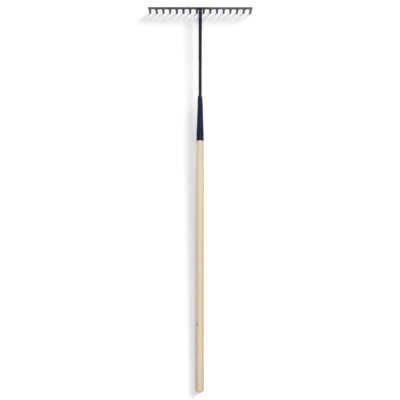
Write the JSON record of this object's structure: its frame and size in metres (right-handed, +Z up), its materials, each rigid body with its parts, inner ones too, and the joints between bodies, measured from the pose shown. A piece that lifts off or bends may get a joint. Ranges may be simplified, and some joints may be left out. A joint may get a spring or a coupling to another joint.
{
  "type": "level head rake",
  "caption": "Straight-stem level-head rake: short steel teeth on a narrow bar, long round stem, tapered navy socket and a round ash handle.",
  "frame": {"origin": "on the ground below the middle of the tool's bounding box, as the tool lies on its tooth tips and the end of its handle", "axes": "+Y along the tool from the handle to the head (the tool's own axis rises 1.14 degrees above +Y), +X along the head bar, +Z up, away from the teeth"},
  "size_m": [0.443, 1.5712, 0.0542],
  "materials": {
    "ash_wood": "clear satin lacquer over straight-grained ash",
    "socket_paint": "satin navy paint",
    "stem_paint": "satin slate-blue paint",
    "head_steel": "worn satin charcoal paint",
    "weld_bead": "rough painted weld",
    "rivet_steel": "dull steel"
  },
  "bodies": {
    "root": {"handle": "ash_wood", "socket": "socket_paint", "socket_rivet": "rivet_steel", "stem": "stem_paint", "neck_weld": "weld_bead", "stem_weld": "weld_bead", "head_bar": "head_steel", "tooth_welds": "weld_bead", "tooth_01": "head_steel", "tooth_02": "head_steel", "tooth_03": "head_steel", "tooth_04": "head_steel", "tooth_05": "head_steel", "tooth_06": "head_steel", "tooth_07": "head_steel", "tooth_08": "head_steel", "tooth_09": "head_steel", "tooth_10": "head_steel", "tooth_11": "head_steel", "tooth_12": "head_steel", "tooth_13": "head_steel", "tooth_14": "head_steel", "tooth_15": "head_steel", "tooth_16": "head_steel"}
  },
  "joints": []
}
